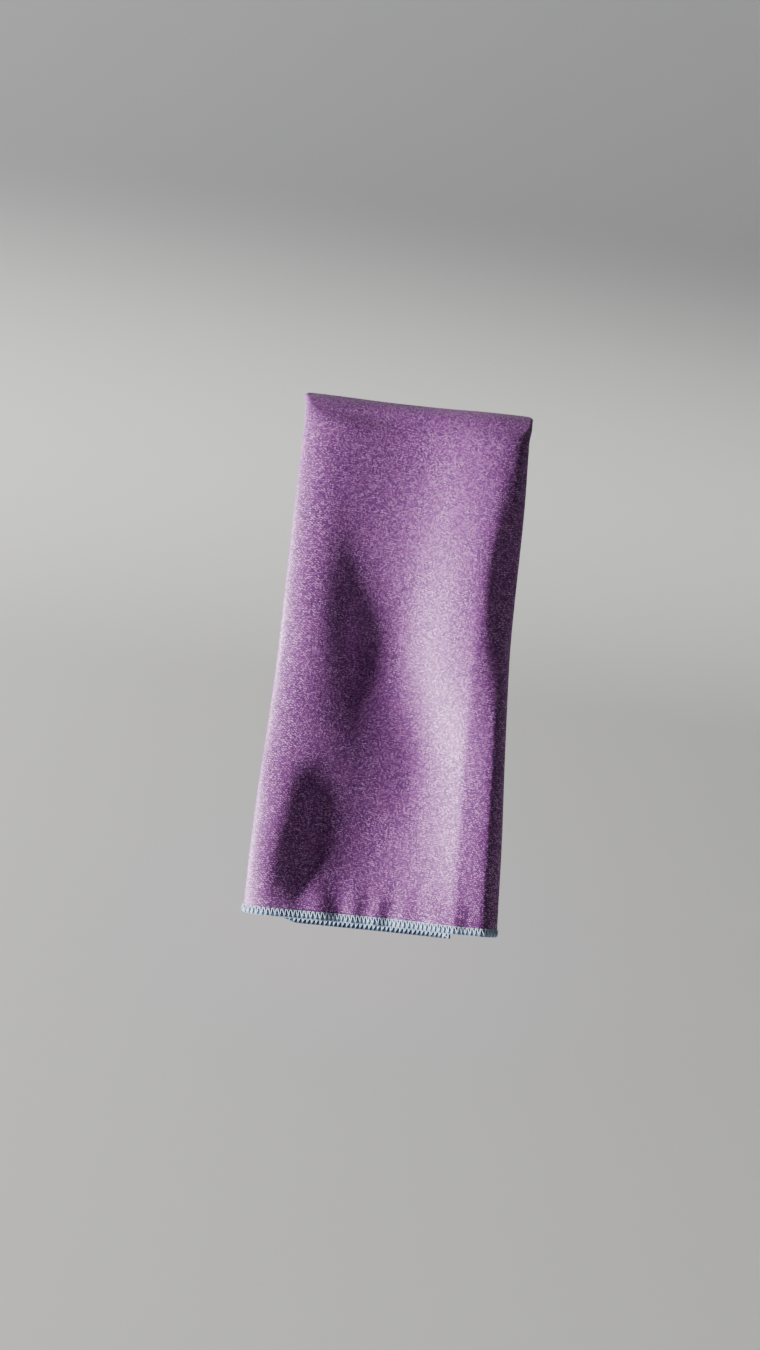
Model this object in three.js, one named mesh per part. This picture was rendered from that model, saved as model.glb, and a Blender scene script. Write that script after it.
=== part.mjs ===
// Quick-dry towel, letter-folded in thirds and draped over a narrow rail.
//
// One thin woven cloth is folded lengthwise into three layers, and the folded strip hangs over a rail:
// the front panel leans forward, the back panel hangs plumb. A three-thread overlock binds all four edges:
// the two looper threads wrap the raw edge as a bead, and the needle thread runs beside it on the face.
//
// Frame: millimetres, +Z up, +X across the strip, -Y towards the front panel.
// Origin: on the rail seat, the flat underside of the innermost layer at the top of the bend.

import * as THREE from 'three';

// ---- Driving dimensions -----------------------------------------------------------------------------

const STRIP_WIDTH = 101; // folded strip, fold to fold
const CLOTH = 0.8; // thickness of one layer
const LAYER_PITCH = 2.2; // middle of one layer to the middle of the next
const LEFT_FLAP_SETBACK = 20.5; // from the right fold to the innermost layer's bare edge
const RIGHT_FLAP_SETBACK = 9; // from the left fold to the middle layer's bare edge

const FRONT_LENGTH = 226; // along the drape, from the middle of the seat to the front end of the cloth
const BACK_LENGTH = 168; // along the drape, from the middle of the seat to the back end of the cloth

const SEAT_DEPTH = 5; // flat stretch on top of the rail, front to back
const FRONT_BEND = 8; // length of the bend from the flat to the steep front
const BACK_BEND = 11; // length of the bend from the flat to the plumb back

const BEAD_WIDTH = 3; // overlock bead, across the edge that it binds
const BEAD_HEIGHT = 1.4; // overlock bead, through the thickness of the cloth
const NEEDLE_THREAD = 0.5; // diameter of the needle thread
const NEEDLE_INSET = 2; // from the bare edge of the cloth to the middle of the needle thread
const GAP = 0.3; // clearance between pieces that touch

// Lean of the front panel, in degrees from plumb, at distances along it from the end of the bend.
const FRONT_LEAN = [
  { along: 0, lean: 46 },
  { along: 20, lean: 40 },
  { along: 50, lean: 28 },
  { along: 90, lean: 30 },
  { along: 130, lean: 40 },
  { along: 180, lean: 38 },
  { along: 230, lean: 36 },
];

const DRAPE_STEP = 12; // longest step along the hanging panels
const BEND_STEP = 2; // longest step round the rail
const FOLD_STEPS = 6; // facets round each fold of the strip
const THREAD_SIDES = 6; // facets round a thread

// ---- The drape: a path in the YZ plane, along the underside of the innermost layer ------------------

const FLAT = 90; // lean of the stretch that lies on the rail
const SEAT_END = SEAT_DEPTH / 2;

function leanBetween(points, at) {
  for (let i = 1; i < points.length; i += 1) {
    const [low, high] = [points[i - 1], points[i]];
    if (at <= high.along) {
      const share = (at - low.along) / (high.along - low.along);
      return low.lean + share * (high.lean - low.lean);
    }
  }
  return points[points.length - 1].lean;
}

function frontLean(along) {
  if (along <= SEAT_END) return FLAT;
  const bent = (along - SEAT_END) / FRONT_BEND;
  if (bent < 1) return FLAT + bent * (FRONT_LEAN[0].lean - FLAT);
  return leanBetween(FRONT_LEAN, along - SEAT_END - FRONT_BEND);
}

function backLean(along) {
  if (along <= SEAT_END) return FLAT;
  return Math.max(0, FLAT * (1 - (along - SEAT_END) / BACK_BEND));
}

function steps(from, to, longest) {
  const count = Math.ceil((to - from) / longest);
  return Array.from({ length: count }, (_, i) => from + ((i + 1) * (to - from)) / count);
}

// Distances along one side of the drape: fine round the rail, coarse down the panel.
function distances(bend, length) {
  const bendEnd = SEAT_END + bend;
  return [0, SEAT_END, ...steps(SEAT_END, bendEnd, BEND_STEP), ...steps(bendEnd, length, DRAPE_STEP)];
}

// Walks down one side of the drape. `forward` is -1 towards the front (-Y) and +1 towards the back.
function walk(leanAt, along, forward) {
  const spine = [new THREE.Vector2(0, 0)];
  for (let i = 1; i < along.length; i += 1) {
    const step = along[i] - along[i - 1];
    const lean = THREE.MathUtils.degToRad(leanAt((along[i] + along[i - 1]) / 2));
    const heading = new THREE.Vector2(forward * Math.sin(lean), -Math.cos(lean));
    spine.push(spine[i - 1].clone().addScaledVector(heading, step));
  }
  return spine;
}

// Unit directions into and out of a point of a line. At an end of the line both are the same.
function directions(line, i) {
  const into = i > 0 ? line[i].clone().sub(line[i - 1]).normalize() : null;
  const out = i < line.length - 1 ? line[i + 1].clone().sub(line[i]).normalize() : null;
  return { into: into ?? out, out: out ?? into };
}

// The mitred left-hand normal at a point of a line: one unit of it clears the line by one unit.
function mitre(line, i) {
  const { into, out } = directions(line, i);
  const middle = into.clone().add(out).normalize();
  return new THREE.Vector2(-middle.y, middle.x).divideScalar(middle.dot(into));
}

// Stations from the back end to the front end: a point in (y, z) and its outward normal.
const spine = [
  ...walk(backLean, distances(BACK_BEND, BACK_LENGTH), 1).slice(1).reverse(),
  ...walk(frontLean, distances(FRONT_BEND, FRONT_LENGTH), -1).slice(1),
];
const DRAPE = spine.map((point, i) => ({ point, normal: mitre(spine, i).negate() }));

// Stations past an end of the cloth, at `beyond` millimetres from it along the hanging panel.
function pastEnd(end, ...beyond) {
  const [last, before] = end === 'front' ? [spine.at(-1), spine.at(-2)] : [spine[0], spine[1]];
  const along = last.clone().sub(before).normalize();
  const { normal } = end === 'front' ? DRAPE.at(-1) : DRAPE[0];
  const list = beyond.map((distance) => ({ point: last.clone().addScaledVector(along, distance), normal }));
  return end === 'front' ? list : list.reverse();
}

// ---- The fold: the letter-folded section, as a centreline in (across, height) -----------------------
// Height is measured outwards from the underside of the innermost layer.

const INNER = CLOTH / 2; // middle of the left flap
const MIDDLE = INNER + LAYER_PITCH; // middle of the right flap
const OUTER = MIDDLE + LAYER_PITCH; // middle of the outer panel
const LEFT = -STRIP_WIDTH / 2;
const RIGHT = STRIP_WIDTH / 2;
const LEFT_FLAP_EDGE = RIGHT - LEFT_FLAP_SETBACK;
const RIGHT_FLAP_EDGE = LEFT + RIGHT_FLAP_SETBACK;

// Half a turn of the centreline between two layers, with the cloth's outside at `edge`.
function foldArc(edge, side, fromHeight, toHeight) {
  const radius = Math.abs(toHeight - fromHeight) / 2;
  const turn = Math.sign(toHeight - fromHeight);
  const centre = new THREE.Vector2(edge - side * (radius + CLOTH / 2), (fromHeight + toHeight) / 2);
  return Array.from({ length: FOLD_STEPS + 1 }, (_, i) => {
    const angle = turn * Math.PI * (i / FOLD_STEPS - 0.5);
    return new THREE.Vector2(side * Math.cos(angle), Math.sin(angle)).multiplyScalar(radius).add(centre);
  });
}

// From the left flap's edge, round the left fold, across the front, round the right fold, to the right flap's edge.
const FOLD_LINE = [
  new THREE.Vector2(LEFT_FLAP_EDGE, INNER),
  ...foldArc(LEFT, -1, INNER, OUTER),
  ...foldArc(RIGHT, 1, OUTER, MIDDLE),
  new THREE.Vector2(RIGHT_FLAP_EDGE, MIDDLE),
];

function offsetLine(line, offset) {
  return line.map((point, i) => point.clone().addScaledVector(mitre(line, i), offset));
}

// A closed outline round a line, `thickness` wide.
function band(line, thickness) {
  return [...offsetLine(line, thickness / 2), ...offsetLine(line, -thickness / 2).reverse()];
}

// A closed round outline, `width` by `height`.
function oval(across, up, width, height) {
  return Array.from({ length: THREAD_SIDES }, (_, i) => {
    const angle = (2 * Math.PI * i) / THREAD_SIDES;
    return new THREE.Vector2(across + (width / 2) * Math.cos(angle), up + (height / 2) * Math.sin(angle));
  });
}

// ---- Solids ----------------------------------------------------------------------------------------

// Extrudes an outline in `count` steps and moves each of its points by `place(x, y, step)`.
function extrude(outline, count, place) {
  const shape = new THREE.Shape(outline);
  const geometry = new THREE.ExtrudeGeometry(shape, { steps: count, depth: count, bevelEnabled: false });
  const position = geometry.getAttribute('position');
  for (let i = 0; i < position.count; i += 1) {
    const placed = place(position.getX(i), position.getY(i), Math.round(position.getZ(i)));
    position.setXYZ(i, placed.x, placed.y, placed.z);
  }
  geometry.computeVertexNormals();
  return geometry;
}

// A point at `across` and `height` of the fold, at one station of the drape.
function onDrape(across, height, { point, normal }) {
  return new THREE.Vector3(across, point.x + height * normal.x, point.y + height * normal.y);
}

// A section of (across, height) carried along stations of the drape.
function alongDrape(outline, stations) {
  return extrude(outline, stations.length - 1, (x, y, step) => onDrape(x, y, stations[step]));
}

// The needle thread across an end of the cloth: on the face, following the folds.
function needleAcross(end) {
  const line = offsetLine(FOLD_LINE, CLOTH / 2 + GAP + NEEDLE_THREAD / 2);
  const section = oval(0, -NEEDLE_INSET, NEEDLE_THREAD, NEEDLE_THREAD);
  const travel = end === 'front' ? line : [...line].reverse();
  return extrude(section, travel.length - 1, (x, y, step) => {
    const at = travel[step].clone().addScaledVector(mitre(travel, step), end === 'front' ? x : -x);
    return onDrape(at.x, at.y, pastEnd(end, y)[0]);
  });
}

const BEAD_SPAN = [GAP, GAP + BEAD_WIDTH];
const BEAD_MIDDLE = GAP + BEAD_WIDTH / 2;
const NEEDLE_RISE = CLOTH / 2 + GAP + NEEDLE_THREAD / 2;

const SOLIDS = {
  towel_cloth: alongDrape(band(FOLD_LINE, CLOTH), DRAPE),
  overlock_front_end: alongDrape(band(FOLD_LINE, BEAD_HEIGHT), pastEnd('front', ...BEAD_SPAN)),
  overlock_back_end: alongDrape(band(FOLD_LINE, BEAD_HEIGHT), pastEnd('back', ...BEAD_SPAN)),
  overlock_left_flap: alongDrape(oval(LEFT_FLAP_EDGE + BEAD_MIDDLE, INNER, BEAD_WIDTH, BEAD_HEIGHT), DRAPE),
  overlock_right_flap: alongDrape(oval(RIGHT_FLAP_EDGE - BEAD_MIDDLE, MIDDLE, BEAD_WIDTH, BEAD_HEIGHT), DRAPE),
  needle_thread_front_end: needleAcross('front'),
  needle_thread_back_end: needleAcross('back'),
  needle_thread_left_flap: alongDrape(
    oval(LEFT_FLAP_EDGE - NEEDLE_INSET, INNER + NEEDLE_RISE, NEEDLE_THREAD, NEEDLE_THREAD),
    DRAPE.slice(1, -1),
  ),
  needle_thread_right_flap: alongDrape(
    oval(RIGHT_FLAP_EDGE + NEEDLE_INSET, MIDDLE - NEEDLE_RISE, NEEDLE_THREAD, NEEDLE_THREAD),
    DRAPE.slice(1, -1),
  ),
};

// ---- The towel -------------------------------------------------------------------------------------

const LOOKS = {
  towel: { color: 0x8a4fa8, roughness: 0.42, metalness: 0 },
  overlock: { color: 0x9db9e6, roughness: 0.6, metalness: 0 },
  needle: { color: 0xb9cdf0, roughness: 0.6, metalness: 0 },
};

const towel = new THREE.Group();
towel.name = 'quick_dry_towel';
for (const [name, geometry] of Object.entries(SOLIDS)) {
  const mesh = new THREE.Mesh(geometry, new THREE.MeshStandardMaterial(LOOKS[name.split('_')[0]]));
  mesh.name = name;
  towel.add(mesh);
}

export default towel;
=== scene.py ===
import math

import bpy
import numpy as np
from mathutils import Matrix, Vector


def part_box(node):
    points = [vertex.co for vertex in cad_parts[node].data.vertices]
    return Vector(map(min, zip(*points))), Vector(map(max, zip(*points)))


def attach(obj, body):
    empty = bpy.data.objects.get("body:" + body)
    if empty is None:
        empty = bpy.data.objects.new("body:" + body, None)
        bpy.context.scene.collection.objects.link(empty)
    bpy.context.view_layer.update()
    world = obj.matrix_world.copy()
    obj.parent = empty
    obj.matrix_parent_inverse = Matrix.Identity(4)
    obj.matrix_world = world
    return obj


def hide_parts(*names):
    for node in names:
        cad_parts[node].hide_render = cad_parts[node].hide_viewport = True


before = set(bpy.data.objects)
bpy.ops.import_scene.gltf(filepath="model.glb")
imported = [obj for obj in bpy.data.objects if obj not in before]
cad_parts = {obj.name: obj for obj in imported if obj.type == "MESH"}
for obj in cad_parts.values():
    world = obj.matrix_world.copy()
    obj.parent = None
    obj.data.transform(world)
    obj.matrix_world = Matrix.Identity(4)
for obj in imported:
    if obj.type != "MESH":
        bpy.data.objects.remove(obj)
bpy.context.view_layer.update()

# A quick-dry towel: one satin-faced cloth, letter-folded in thirds and draped over a rail, with a
# three-thread overlock on all four edges. Shapes are worked out in millimetres and then turned into metres.
# The cloth has two flat coordinates: `across` its width, from the left flap's edge to the right flap's edge,
# and `along` its length, from the back end to the front end.

MM = 0.001

# ---- Sizes (mm) -------------------------------------------------------------------------------------

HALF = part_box("towel_cloth")[1][0] / MM  # half the folded strip's width
LENGTH = 400.0  # flat length
BACK = 168.5  # of it behind the rail, on the innermost layer
THICK = 0.5  # cloth
PRESSED = 1.15  # spacing of two layers where they lie on each other
HEMS_APART = 0.75  # added to it at both ends, where the overlocks lie between them
SEAT_LIFT = 0.3  # middle of the innermost layer above the rail seat

LEFT_FLAP_EDGE = 33.2  # x of the innermost layer's free edge
RIGHT_FLAP_EDGE = -46.0  # x of the middle layer's free edge

SEAT_END = 2.5  # half of the flat that lies on the rail
FRONT_BEND = 8.0
BACK_BEND = 11.0
FRONT_LEAN_AT = (0, 20, 50, 90, 130, 180, 230)  # along the front panel, from the end of the bend
FRONT_LEAN = (46, 40, 28, 30, 40, 38, 36)  # degrees from plumb there

STITCH = 1.8  # pitch of the overlock
BITE = 2.7  # needle line, in from the edge
THREAD = 0.21  # radius of a looper thread
NEEDLE = 0.15  # radius of the needle thread

RIB_PITCH = 1.0  # of the twill, across the width
FLOAT_PITCH = 0.8  # of the floats that make up a rib, along the length

FLOOR_Z = -0.235  # metres
WALL_GREY = 0.34  # metres above the floor where the backdrop reaches its full grey


# ---- Small tools ------------------------------------------------------------------------------------

def smooth(value, low, high):
    """0 below low, 1 above high, and smooth between."""
    t = np.clip((value - low) / (high - low), 0, 1)
    return t * t * (3 - 2 * t)


def ramp(x, middle, width):
    """A smooth step of height 1, about 4 widths long."""
    return 0.5 * np.tanh((x - middle) / width)


def hump(s, middle, reach, power=2):
    return np.exp(-np.abs((s - middle) / reach) ** power)


def knee(x, at, radius):
    """at - x where x is well left of at, 0 well right of it."""
    return radius * np.logaddexp(0, (at - x) / radius)


# ---- The drape: the path of the innermost layer's underside in the YZ plane -------------------------

def drape_tables():
    s = np.arange(-200, 260, 0.25)
    front = np.clip((s - SEAT_END) / FRONT_BEND, 0, 1)
    lean_front = 90 + front * (FRONT_LEAN[0] - 90)
    hanging = s > SEAT_END + FRONT_BEND
    lean_front[hanging] = np.interp(s[hanging] - SEAT_END - FRONT_BEND, FRONT_LEAN_AT, FRONT_LEAN)
    lean_back = 90 * (1 - np.clip((-s - SEAT_END) / BACK_BEND, 0, 1))
    tilt = np.where(s >= 0, lean_front - 90, 90 - lean_back)
    kernel = np.exp(-0.5 * (np.arange(-40, 41) / 14) ** 2)
    soft = np.convolve(np.pad(tilt, 40, mode="edge"), kernel / kernel.sum(), mode="valid")
    tilt = np.radians(np.where(s > 30, soft, tilt + (soft - tilt) * smooth(s, 15, 30)))
    y = np.concatenate([[0], np.cumsum(-np.cos((tilt[1:] + tilt[:-1]) / 2) * np.diff(s))])
    z = np.concatenate([[0], np.cumsum(np.sin((tilt[1:] + tilt[:-1]) / 2) * np.diff(s))])
    y -= np.interp(0, s, y)
    z -= np.interp(0, s, z)
    return s, tilt, y, z


PATH_S, PATH_TILT, PATH_Y, PATH_Z = drape_tables()


def on_drape(x, s, height):
    """Points at x across the strip, s along the drape and height out from the path, in millimetres."""
    tilt = np.interp(s, PATH_S, PATH_TILT)
    y = np.interp(s, PATH_S, PATH_Y) + height * np.sin(tilt)
    z = np.interp(s, PATH_S, PATH_Z) + height * np.cos(tilt)
    return np.stack([x, y, z], axis=-1)


# ---- The soft relief of the strip -------------------------------------------------------------------

def relief(x, s):
    """How far all three layers stand out from the path together."""
    # the long valley left of the middle: its broad left bank, then the sharp streak down it
    out = -5.6 * ramp(x, -24.5 + 0.10 * (s - 105), 9 + 4 * smooth(s, 100, 150)) * hump(s, 108, 46)
    out += -2.5 * ramp(x, -20 + 0.13 * (s - 108), 2.0) * hump(s, 112, 22)
    # two shallow troughs that carry it on downwards
    out += -3.4 * ramp(x, -4, 17) * hump(s, 156, 30)
    out += -2.4 * ramp(x, 9, 8) * hump(s, 160, 26)
    # the broad right bank, which ends lower down at the edge of the flap inside
    bank = 14 + 13 * smooth(s, 105, 165)
    out += 9.5 * ramp(x, bank, 12.5 - 1.5 * smooth(s, 130, 165)) * hump(s, 122, 80)
    fall = 12
    past_flap = knee(x, 33.5, 0.8)
    out += 0.34 * fall * (np.exp(-past_flap / fall) - 1) * hump(s, 172, 62, 4)
    # the fall towards the right fold
    out += -5.2 * ramp(x, 41.5 - 2 * hump(s, 80, 24), 5) * hump(s, 82, 41)
    # the dent by the left fold: its right edge bows out and is crisp low down
    corner = -24.3 - 2.4 * (np.maximum(0, 186 - s) / 18) ** 2 - 3.5 * (np.maximum(0, s - 198) / 18) ** 2
    start = -35 - 0.17 * (s - 170)
    blur = 0.7 + 4 * smooth(186 - s, 4, 26)
    out += 0.43 * (knee(x, corner, blur) - knee(x, start, 2.5)) * hump(s, 193, 29, 4)
    # the right fold rolls away, less so in its upper half
    out += -0.45 * knee(-x, -45, 0.7) * smooth(s, 12, 32) * (1 - 0.6 * hump(s, 70, 45))
    # slow waves down the back panel
    back = smooth(-s, 25, 150)
    out += back * (1.3 * np.sin(x / 15 + 0.6 - s / 90) + 0.6 * np.sin(x / 7.3 - 1.1 + s / 60))
    return out


def surface_detail(x, s):
    """What only the outer panel shows: the flap edge under it and the puckers above the hem."""
    # a soft step along the edge of the flap inside
    out = -0.35 * ramp(x, 34.2, 1.5) * smooth(s, 85, 125)
    # the puckers that the overlock draws up, and the drop to their right
    near_hem = smooth(s, 206, 230)
    puckers = 0.36 * np.sin(x / 1.9 + 0.9 * np.sin(x / 8 + s / 9)) + 0.25 * np.sin(x / 3.6 + 2.0)
    out += near_hem * puckers * hump(x, -2, 30, 4)
    out += -1.3 * ramp(x, 36, 2.4) * smooth(s, 207, 228)
    # a faint unevenness all over
    out += 0.10 * np.sin(x / 9 + s / 13) * np.sin(s / 17 - x / 21)
    return out


def edge_left(s):
    """x of the left fold: it draws in under the corner on the rail and runs out again lower down."""
    lower = smooth(s, 100, 190)
    return -HALF + 0.8 * smooth(s, 6, 20) * (1 - lower) - 0.5 * lower - 1.5 * hump(s, 0, 4)


def edge_right(s):
    """x of the right fold, the same way."""
    lower = smooth(s, 90, 230)
    return HALF - 1.5 * smooth(s, 6, 18) * (1 - lower) + 1.2 * lower + 1.2 * hump(s, 0, 4)


# ---- The folded cloth -------------------------------------------------------------------------------

LEFT_NOSE, RIGHT_NOSE = 11.0, 8.0  # how far in from the fold the strip rounds off
PIECES = (  # columns across each stretch of the section, and its flat width
    ("left_flap", 56, LEFT_FLAP_EDGE + HALF - LEFT_NOSE),
    ("left_fold", 34, 25.0),
    ("outer", 96, 2 * HALF - LEFT_NOSE - RIGHT_NOSE),
    ("right_fold", 24, 18.0),
    ("right_flap", 52, HALF - RIGHT_NOSE - RIGHT_FLAP_EDGE),
)


def cloth_grid():
    """The middle surface of the cloth: points (rows along, columns across) and both flat coordinates."""
    along = np.unique(np.concatenate([
        np.linspace(0, BACK - 16, 96),
        np.linspace(BACK - 16, BACK + 20, 46),
        np.linspace(BACK + 20, LENGTH, 170),
    ]))
    kinds, shares, flats = [], [], []
    start = 0.0
    for index, (_, count, width) in enumerate(PIECES):
        share = np.linspace(0, 1, count + 1)
        if index:
            share = share[1:]
        kinds.append(np.full(len(share), index))
        shares.append(share)
        flats.append(start + share * width)
        start += width
    kind = np.concatenate(kinds)[None, :]
    share = np.concatenate(shares)[None, :]
    across = np.concatenate(flats)

    # the outer layers go further round the rail, so they end higher than the innermost one
    breaks = np.cumsum([0] + [width for _, _, width in PIECES])
    slip = np.interp(across, [0, 63, *breaks[1:]], [0.7, 0.9, 4.2, 3.4, 3.4, 3.4, 3.2])[None, :]
    from_rail = (along - BACK)[:, None]
    s = from_rail - slip * (smooth(from_rail, 0, 16) - 1.5 * smooth(-from_rail, 0, 16))

    rail = hump(s, 0, 14, 4)  # the rail presses the folds flat
    left, right = edge_left(s), edge_right(s)
    left_nose = LEFT_NOSE + 3.0 * hump(s, 85, 60) - 10.3 * rail
    right_nose = RIGHT_NOSE - 7.2 * rail
    left_puff = 6.0 - 3.5 * rail
    right_puff = 5.2 - 3.8 * rail
    left_start, right_start = left + left_nose, right - right_nose
    turn = math.pi * (share - 0.5)

    x = np.select(
        [kind == 0, kind == 1, kind == 2, kind == 3],
        [
            LEFT_FLAP_EDGE + share * (left_start - LEFT_FLAP_EDGE),
            left_start - left_nose * np.cos(turn),
            left_start + share * (right_start - left_start),
            right_start + right_nose * np.cos(turn),
        ],
        right_start + share * (RIGHT_FLAP_EDGE - right_start),
    )
    left_extra = (left_puff - 2 * PRESSED) * np.exp(-(np.maximum(0, x - left_start) / 30) ** 2)
    right_extra = (right_puff - PRESSED) * np.exp(-(np.maximum(0, right_start - x) / 30) ** 2)
    to_end = np.minimum(along, LENGTH - along)[:, None]
    pressed = PRESSED + HEMS_APART * (1 - smooth(to_end, 2, 20))
    # each layer's height above the innermost one
    rise = np.select(
        [kind == 0, kind == 1, kind == 2, kind == 3],
        [
            0 * x,
            (left_puff + 2 * (pressed - PRESSED)) * (1 + np.sin(turn)) / 2,
            2 * pressed + left_extra + right_extra,
            pressed + (right_puff + pressed - PRESSED) * (1 - np.sin(turn)) / 2,
        ],
        pressed + left_extra / 2,
    )
    # 1 on the outer panel, fading out in the turns of both folds
    outer = np.where(kind == 2, 1.0, 0.0)
    outer = np.where(kind == 1, smooth(share, 0.5, 1.0), outer)
    outer = np.where(kind == 3, 1 - smooth(share, 0.0, 0.5), outer)
    height = SEAT_LIFT + relief(x, s) + rise + outer * surface_detail(x, s)
    return on_drape(x, s, height), across, along


def mesh_object(name, points, faces, uvs=None):
    mesh = bpy.data.meshes.new(name)
    mesh.from_pydata([tuple(p) for p in np.asarray(points) * MM], [], faces)
    if uvs is not None:
        layer = mesh.uv_layers.new(name="flat")
        loops = np.empty(len(mesh.loops), dtype=np.int32)
        mesh.loops.foreach_get("vertex_index", loops)
        layer.data.foreach_set("uv", np.asarray(uvs, dtype=np.float32)[loops].ravel())
    mesh.polygons.foreach_set("use_smooth", [True] * len(mesh.polygons))
    mesh.update()
    thing = bpy.data.objects.new(name, mesh)
    bpy.context.scene.collection.objects.link(thing)
    return thing


def grid_faces(rows, columns, closed=False):
    faces = []
    last = columns if closed else columns - 1
    for r in range(rows - 1):
        for c in range(last):
            d = (c + 1) % columns
            faces.append((r * columns + c, r * columns + d, (r + 1) * columns + d, (r + 1) * columns + c))
    return faces


def build_cloth(grid, across, along):
    rows, columns = grid.shape[:2]
    u, v = np.meshgrid(across / LENGTH, along / LENGTH)
    uvs = np.stack([u.ravel(), v.ravel()], axis=-1)
    cloth = mesh_object("towel_cloth_woven", grid.reshape(-1, 3), grid_faces(rows, columns), uvs)
    solidify = cloth.modifiers.new("thickness", "SOLIDIFY")
    solidify.thickness = THICK * MM
    solidify.offset = 0
    return cloth


# ---- The overlock -----------------------------------------------------------------------------------

class Edge:
    """One edge of the cloth: its points, the way in from it and the face's normal, by distance along it."""

    def __init__(self, grid, side):
        if side in ("front", "back"):
            rows = grid[::-1] if side == "front" else grid
            line, inner = rows[0], rows[4]
        else:
            columns = grid[:, ::-1] if side == "right" else grid
            line, inner = columns[:, 0], columns[:, 3]
        inward = inner - line
        inward /= np.linalg.norm(inward, axis=1, keepdims=True)
        travel = np.gradient(line, axis=0)
        normal = np.cross(travel, inward)
        if side != "front":
            normal = -normal
        normal /= np.linalg.norm(normal, axis=1, keepdims=True)
        self.at = np.concatenate([[0], np.cumsum(np.linalg.norm(np.diff(line, axis=0), axis=1))])
        self.length = self.at[-1]
        self.line, self.inward, self.normal = line, inward, normal

    def point(self, distance, depth, height):
        """Points `depth` in from the edge and `height` off the middle of the cloth."""
        parts = []
        for values in (self.line, self.inward, self.normal):
            parts.append(np.stack([np.interp(distance, self.at, values[:, i]) for i in range(3)], axis=-1))
        return parts[0] + parts[1] * depth[:, None] + parts[2] * height[:, None]


def tube(points, radius, sides=6):
    """Vertices and faces of a closed tube along points."""
    travel = np.gradient(points, axis=0)
    travel /= np.linalg.norm(travel, axis=1, keepdims=True) + 1e-9
    up = np.array([0.31, -0.62, 0.72])
    side = np.cross(travel, up)
    side /= np.linalg.norm(side, axis=1, keepdims=True) + 1e-9
    other = np.cross(side, travel)
    angle = np.arange(sides) * 2 * math.pi / sides
    ring = side[:, None, :] * np.cos(angle)[None, :, None] + other[:, None, :] * np.sin(angle)[None, :, None]
    vertices = (points[:, None, :] + ring * radius).reshape(-1, 3)
    faces = [tuple(reversed(f)) for f in grid_faces(len(points), sides, closed=True)]
    faces.append(tuple(range(sides)))
    last = (len(points) - 1) * sides
    faces.append(tuple(reversed(range(last, last + sides))))
    return vertices, faces


def joined(parts):
    vertices, faces, start = [], [], 0
    for some, more in parts:
        vertices.append(some)
        faces += [tuple(i + start for i in face) for face in more]
        start += len(some)
    return np.concatenate(vertices), faces


def looper(edge, face, stitches, rng):
    """One looper thread: a narrow loop up to the needle line at each stitch, leaning back along the edge."""
    steps = 14
    t = np.arange(stitches * steps + 1) / steps
    stitch = np.floor(t)
    along = t - stitch - 0.5  # 0 at the tip of the loop
    reach = np.cos(math.pi * along) ** 0.7
    wobble = rng.normal(0, 0.05, stitches + 1)[stitch.astype(int)]
    aside = 0.5 * np.sign(along) * np.abs(2 * along) ** 2.4 + 0.14 * np.sin(2 * math.pi * along)
    shift = 0.5 if face > 0 else 0.9
    distance = np.clip((stitch + aside + shift + wobble - 0.3 * reach) / stitches, 0, 1) * edge.length
    lift = THICK / 2 + 0.20 + 0.24 * np.sin(math.pi * reach)
    return tube(edge.point(distance, (BITE + 0.1 + wobble) * reach, face * lift), THREAD)


def needle(edge, stitches):
    """The needle thread: a row of straight stitches on the face that dips in at each hole."""
    steps = 6
    t = np.arange(stitches * steps + 1) / steps
    lift = THICK / 2 + 0.02 + 0.28 * np.abs(np.sin(math.pi * t)) ** 0.6
    depth = np.full(len(t), BITE + 0.05)
    return tube(edge.point(t / stitches * edge.length, depth, lift), NEEDLE)


def wrap(edge):
    """The filament that covers the raw edge between the loops: a thin closed skin round it.

    Also which of its points lie on the reverse of the cloth, where the material paints shade.
    """
    count = max(2, int(edge.length / 0.6))
    distance = np.linspace(0, edge.length, count)
    over = THICK / 2 + 0.12
    # depth in from the edge and height: over the face, round the edge, back on the reverse, then inside
    profile = [(1.6, over - 0.1), (1.3, over), (0.7, over + 0.07), (0.1, over - 0.02)]
    profile += [(-0.28, 0.18), (-0.34, 0.0)]
    outline = profile + [(d, -h) for d, h in reversed(profile[:-1])]
    outline += [(1.5, -0.2), (0.4, -0.14), (0.4, 0.14), (1.5, 0.2)]
    rings = np.stack(
        [edge.point(distance, np.full(count, d), np.full(count, h)) for d, h in outline], axis=1
    )
    sides = len(outline)
    faces = grid_faces(count, sides, closed=True)
    faces.append(tuple(reversed(range(sides))))
    last = (count - 1) * sides
    faces.append(tuple(range(last, last + sides)))
    reverse = np.tile([0.0 if h >= 0 else 1.0 for _, h in outline], count)
    return rings.reshape(-1, 3), faces, reverse


def build_edge(grid, side):
    edge = Edge(grid, side)
    stitches = round(edge.length / STITCH)
    rng = np.random.default_rng(7)
    *skin, reverse = wrap(edge)
    points, faces = joined([skin, looper(edge, 1, stitches, rng), looper(edge, -1, stitches, rng)])
    # for the material: u is 1 on the loops, which it paints paler as a painted highlight, and v is 1 on the
    # reverse side of the skin under them, which it paints darker as painted shade
    strand = np.zeros((len(points), 2))
    strand[len(reverse):, 0] = 1
    strand[: len(reverse), 1] = reverse
    return (
        mesh_object(f"looper_threads_{side}", points, faces, strand),
        mesh_object(f"needle_stitches_{side}", *needle(edge, stitches)),
    )


# ---- Materials --------------------------------------------------------------------------------------

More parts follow.
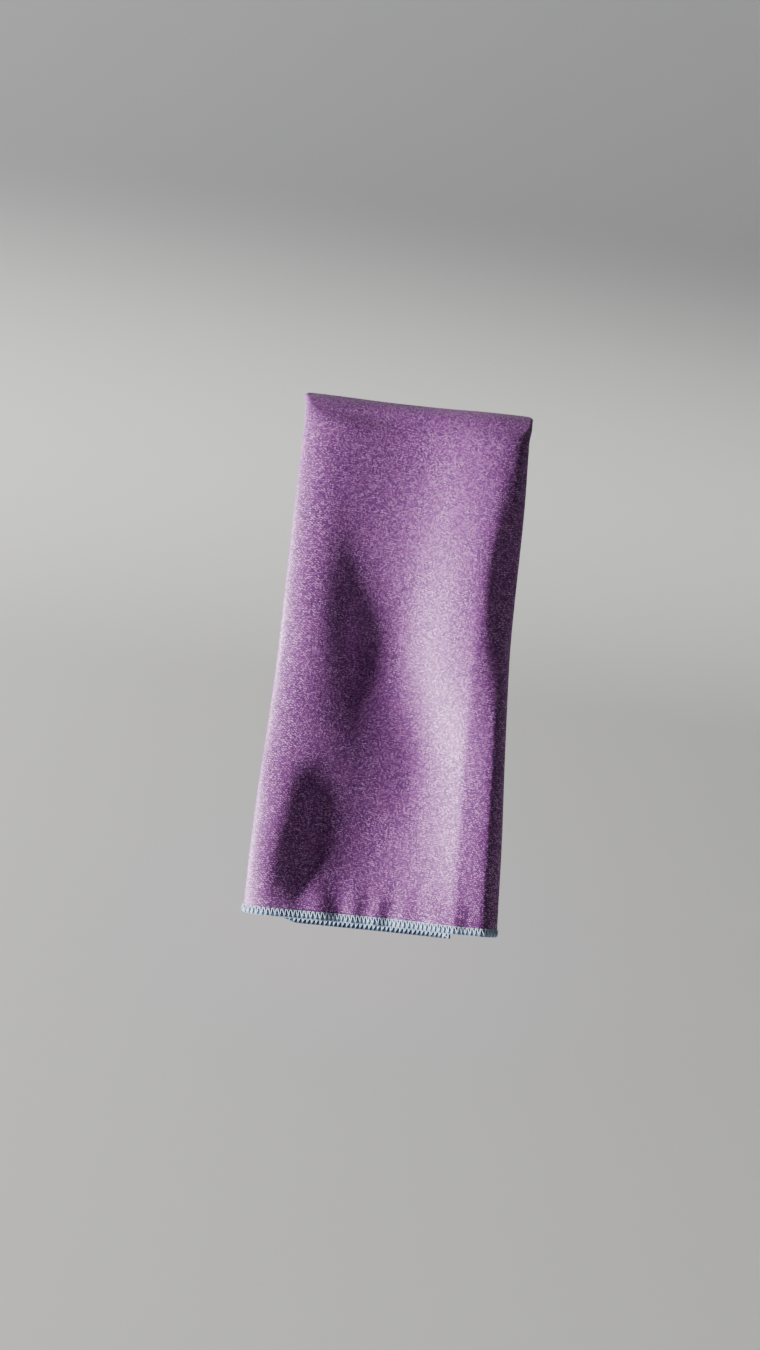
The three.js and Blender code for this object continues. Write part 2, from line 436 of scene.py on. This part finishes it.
class Nodes:
    """A small helper that adds and links shader nodes."""

    def __init__(self, name):
        self.material = bpy.data.materials.new(name)
        self.material.use_nodes = True
        self.tree = self.material.node_tree
        self.shader = self.tree.nodes["Principled BSDF"]

    def add(self, kind, **settings):
        node = self.tree.nodes.new(kind)
        for key, value in settings.items():
            if key in node.inputs:
                node.inputs[key].default_value = value
            else:
                setattr(node, key, value)
        return node

    def link(self, source, target):
        self.tree.links.new(source, target)

    def math(self, operation, first, second=None, third=None):
        node = self.add("ShaderNodeMath", operation=operation)
        for index, value in enumerate((first, second, third)):
            if value is None:
                continue
            if isinstance(value, (int, float)):
                node.inputs[index].default_value = value
            else:
                self.link(value, node.inputs[index])
        return node.outputs[0]

    def mix(self, factor, first, second):
        node = self.add("ShaderNodeMix", data_type="RGBA")
        self.link(factor, node.inputs[0])
        for socket, value in ((node.inputs[6], first), (node.inputs[7], second)):
            if isinstance(value, tuple):
                socket.default_value = (*value, 1)
            else:
                self.link(value, socket)
        return node.outputs[2]

    def spread(self, value, low, high):
        node = self.add("ShaderNodeMapRange", interpolation_type="SMOOTHSTEP")
        self.link(value, node.inputs["Value"])
        node.inputs["From Min"].default_value = low
        node.inputs["From Max"].default_value = high
        return node.outputs[0]

    def bump(self, height, distance, strength):
        node = self.add("ShaderNodeBump", Distance=distance, Strength=strength)
        self.link(height, node.inputs["Height"])
        self.link(node.outputs[0], self.shader.inputs["Normal"])

    def set(self, **sockets):
        for name, value in sockets.items():
            self.shader.inputs[name.replace("_", " ")].default_value = value


def cloth_material():
    n = Nodes("satin_twill")
    flat = n.add("ShaderNodeUVMap", uv_map="flat")
    to_mm = n.add("ShaderNodeVectorMath", operation="SCALE")
    to_mm.inputs["Scale"].default_value = LENGTH
    n.link(flat.outputs[0], to_mm.inputs[0])
    mm = to_mm.outputs[0]
    split = n.add("ShaderNodeSeparateXYZ")
    n.link(mm, split.inputs[0])
    u, v = split.outputs[0], split.outputs[1]

    # satin twill: ribs run down to the right and break up into single floats
    diagonal = n.math("MULTIPLY_ADD", v, -0.9, u)
    rib = n.math("SINE", n.math("MULTIPLY", diagonal, 2 * math.pi / RIB_PITCH))
    cut = n.math("SINE", n.math("MULTIPLY", n.math("MULTIPLY_ADD", u, 0.3, v), 2 * math.pi / FLOAT_PITCH))
    weave = n.math("MULTIPLY_ADD", rib, 0.25, n.math("MULTIPLY_ADD", cut, 0.25, 0.5))
    cells = n.add("ShaderNodeTexVoronoi", feature="F1", Scale=2.7)
    n.link(mm, cells.inputs["Vector"])
    sparkle = n.add("ShaderNodeSeparateColor")
    n.link(cells.outputs["Color"], sparkle.inputs[0])
    glint = sparkle.outputs[0]
    patches = n.add("ShaderNodeTexNoise", Scale=0.09, Detail=3.0, Roughness=0.6)
    n.link(mm, patches.inputs["Vector"])
    cloudy = n.spread(patches.outputs[0], 0.35, 0.65)

    # The pale flecks are painted glints: where the cells and the weave run highest the colour turns
    # near-white in place of the satin's sparkle, and lower down it runs from deep to base.
    deep, base, pale = (0.032, 0.003, 0.060), (0.18, 0.022, 0.235), (0.92, 0.47, 0.92)
    weave_and_painted_glints = n.math("MULTIPLY_ADD", glint, 0.72, n.math("MULTIPLY", weave, 0.4))
    shade = n.mix(n.spread(weave_and_painted_glints, 0.18, 0.64), deep, base)
    shade = n.mix(n.spread(weave_and_painted_glints, 0.66, 0.98), shade, pale)
    tinted = n.mix(n.math("MULTIPLY", cloudy, 0.25), shade, (0.24, 0.05, 0.25))
    n.link(tinted, n.shader.inputs["Base Color"])
    n.link(n.math("MULTIPLY_ADD", glint, -0.2, 0.66), n.shader.inputs["Roughness"])
    n.bump(n.math("MULTIPLY_ADD", weave, 0.6, n.math("MULTIPLY", glint, 0.5)), 0.00008, 0.55)
    n.set(IOR=1.6, Specular_IOR_Level=0.9, Sheen_Weight=0.03, Sheen_Roughness=0.35)
    n.set(Sheen_Tint=(0.95, 0.72, 0.95, 1), Specular_Tint=(1, 0.74, 1, 1))
    return n.material


def thread_material(name, colour, pale):
    n = Nodes(name)
    where = n.add("ShaderNodeTexCoord")
    fibres = n.add("ShaderNodeTexNoise", Scale=2600.0, Detail=2.0)
    n.link(where.outputs["Object"], fibres.inputs["Vector"])
    slow = n.add("ShaderNodeTexNoise", Scale=260.0, Detail=2.0)
    n.link(where.outputs["Object"], slow.inputs["Vector"])
    strand = n.add("ShaderNodeUVMap", uv_map="flat")
    split = n.add("ShaderNodeSeparateXYZ")
    n.link(strand.outputs[0], split.inputs[0])
    loops, reverse = split.outputs[0], split.outputs[1]
    # The loops are painted paler than the skin as a painted highlight, on top of the fibres' own uneven
    # tone.
    light = n.math("MULTIPLY_ADD", loops, 0.6, n.spread(fibres.outputs[0], 0.2, 0.9))
    shade = n.mix(light, colour, pale)
    uneven = n.math("MULTIPLY", n.spread(slow.outputs[0], 0.4, 0.7), 0.3)
    shade = n.mix(uneven, shade, tuple(0.7 * c for c in colour))
    # The reverse side of the skin is painted much darker: painted shade, standing in for the shadow under
    # the hem in front of it.
    shade = n.mix(n.math("MULTIPLY", reverse, 0.85), shade, tuple(0.2 * c for c in colour))
    n.link(shade, n.shader.inputs["Base Color"])
    n.bump(fibres.outputs[0], 0.00006, 0.6)
    n.set(Roughness=0.6, Specular_IOR_Level=0.5, Sheen_Weight=0.3, Sheen_Roughness=0.4)
    return n.material


def backdrop_material():
    """Pale on the floor, greyer up the curve into the wall."""
    n = Nodes("pale_floor")
    where = n.add("ShaderNodeTexCoord")
    split = n.add("ShaderNodeSeparateXYZ")
    n.link(where.outputs["Object"], split.inputs[0])
    up = n.spread(split.outputs[2], FLOOR_Z, FLOOR_Z + WALL_GREY)
    n.link(n.mix(up, (0.74, 0.75, 0.74), (0.17, 0.174, 0.182)), n.shader.inputs["Base Color"])
    n.set(Roughness=0.85, Specular_IOR_Level=0.2)
    return n.material


# ---- The towel --------------------------------------------------------------------------------------

grid, across, along = cloth_grid()
cloth = build_cloth(grid, across, along)
cloth.data.materials.append(cloth_material())
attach(cloth, "root")
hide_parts("towel_cloth")

# The loopers' darker blue shows on the skin; the material paints the loops paler as a painted highlight and
# the skin's reverse darker as painted shade.
looper_look = thread_material("overlock_thread", (0.10, 0.20, 0.42), (0.68, 0.83, 1.0))
needle_look = thread_material("needle_thread", (0.46, 0.58, 0.84), (0.80, 0.87, 0.97))
sides = (("front", "front_end"), ("back", "back_end"), ("left", "left_flap"), ("right", "right_flap"))
for side, node in sides:
    loops, stitches = build_edge(grid, side)
    loops.data.materials.append(looper_look)
    stitches.data.materials.append(needle_look)
    for piece in (loops, stitches):
        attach(piece, "root")
    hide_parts(f"overlock_{node}")
    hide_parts(f"needle_thread_{node}")

# ---- Floor, light and camera ------------------------------------------------------------------------

def build_backdrop():
    """A round pale floor that curves up into a wall, close behind the towel and far from it in front."""
    floor = FLOOR_Z / MM
    reach, radius, top = 2980, 600, 2400
    centre_y = -2800
    bend = np.linspace(0, math.pi / 2, 16)
    profile = [(0.001, floor), (900, floor)]
    profile += [(reach + radius * math.sin(a), floor + radius * (1 - math.cos(a))) for a in bend]
    profile.append((reach + radius, top))
    turns = np.linspace(0, 2 * math.pi, 96, endpoint=False)
    points = [(r * math.cos(a), r * math.sin(a) + centre_y, z) for r, z in profile for a in turns]
    backdrop = mesh_object("backdrop", points, grid_faces(len(profile), len(turns), closed=True))
    backdrop.data.materials.append(backdrop_material())


def area_light(name, place, aim, size, power, colour=(1, 1, 1)):
    data = bpy.data.lights.new(name, "AREA")
    data.shape = "DISK"
    data.size = size
    data.energy = power
    data.color = colour
    light = bpy.data.objects.new(name, data)
    light.location = place
    light.rotation_euler = (Vector(aim) - Vector(place)).to_track_quat("-Z", "Y").to_euler()
    bpy.context.scene.collection.objects.link(light)


def build_camera():
    """In front of the towel, above it and a little to its left, looking down and rolled."""
    place = (-0.02083, -0.42527, 0.07721)
    yaw, pitch, roll = math.radians(2.47), math.radians(26.39), math.radians(7.28)
    forward = Vector((math.sin(yaw) * math.cos(pitch), math.cos(yaw) * math.cos(pitch), -math.sin(pitch)))
    level = Vector((math.cos(yaw), -math.sin(yaw), 0))
    rise = level.cross(forward)
    right = level * math.cos(roll) + rise * math.sin(roll)
    up = rise * math.cos(roll) - level * math.sin(roll)
    data = bpy.data.cameras.new("camera")
    data.sensor_width = 36
    data.lens = 24.45
    data.clip_start = 0.01
    camera = bpy.data.objects.new("camera", data)
    turned = Matrix((right, up, -forward)).transposed().to_4x4()
    camera.matrix_world = Matrix.Translation(place) @ turned
    bpy.context.scene.collection.objects.link(camera)
    bpy.context.scene.camera = camera


build_backdrop()
middle = (0, -0.07, -0.09)
area_light("key", (-2.40, -0.72, 0.12), middle, 0.55, 275, (1, 0.98, 0.95))
area_light("fill", (0.6, -1.4, 1.3), middle, 1.4, 0.03, (0.94, 0.96, 1))
area_light("back", (0.3, 0.45, 1.2), middle, 0.9, 0.05)
world = bpy.data.worlds.new("studio")
world.use_nodes = True
world.node_tree.nodes["Background"].inputs["Color"].default_value = (0.85, 0.88, 0.93, 1)
world.node_tree.nodes["Background"].inputs["Strength"].default_value = 0.008
bpy.context.scene.world = world
build_camera()
